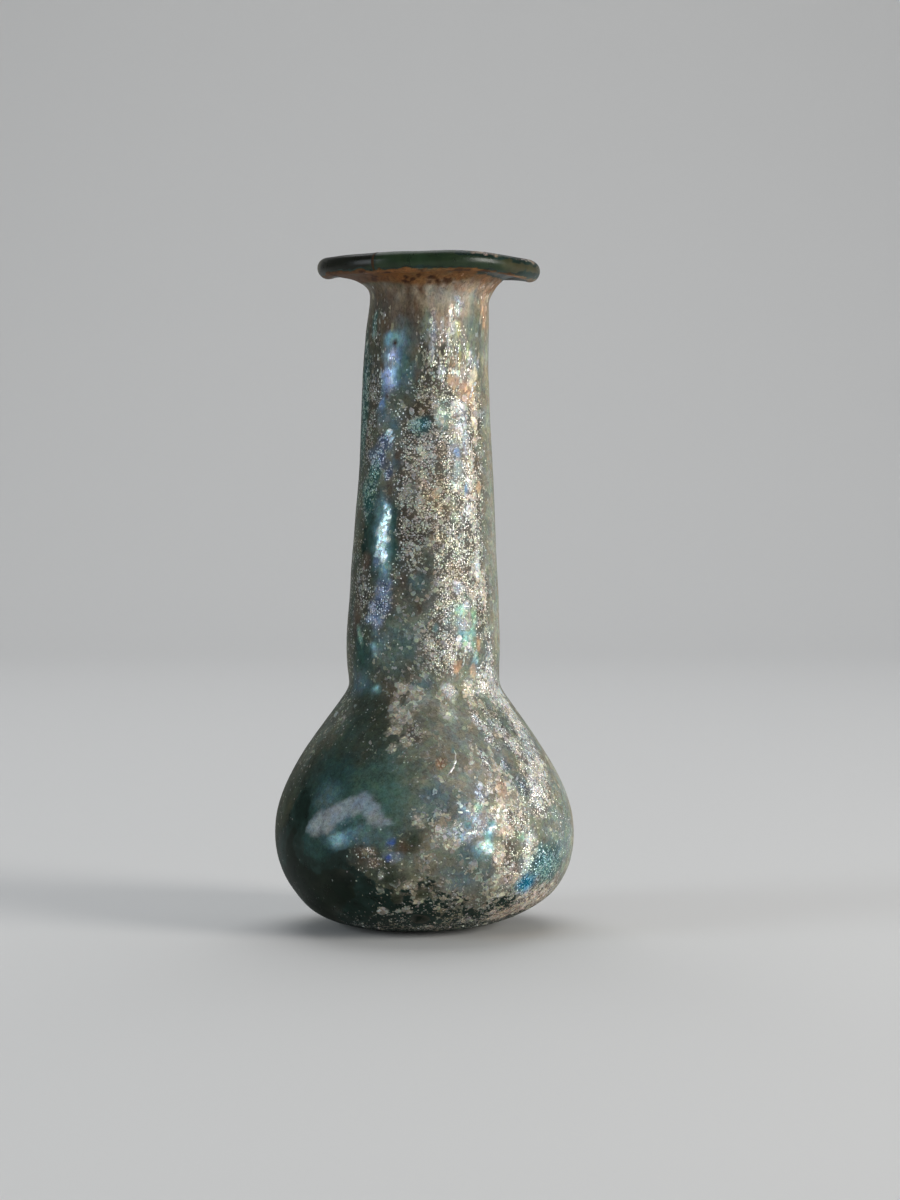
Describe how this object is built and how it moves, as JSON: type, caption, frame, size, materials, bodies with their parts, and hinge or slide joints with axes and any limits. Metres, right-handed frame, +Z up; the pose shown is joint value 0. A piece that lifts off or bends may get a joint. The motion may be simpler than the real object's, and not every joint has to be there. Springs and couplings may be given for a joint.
{
  "type": "unguentarium",
  "caption": "Small hand-blown glass flask for scented oil, with a squat body, a long neck and a wide folded rim, weathered by burial.",
  "frame": {"origin": "under the middle of the body, level with the ring that the flask stands on", "axes": "+Z up the neck, +X towards the side where the rim hangs lower, -Y towards the front"},
  "size_m": [0.0538, 0.0538, 0.1206],
  "materials": {
    "weathered_glass": "dark blue-green blown glass under a flaking silver, tan and iridescent burial crust"
  },
  "bodies": {
    "root": {"unguentarium": "weathered_glass"}
  },
  "joints": []
}
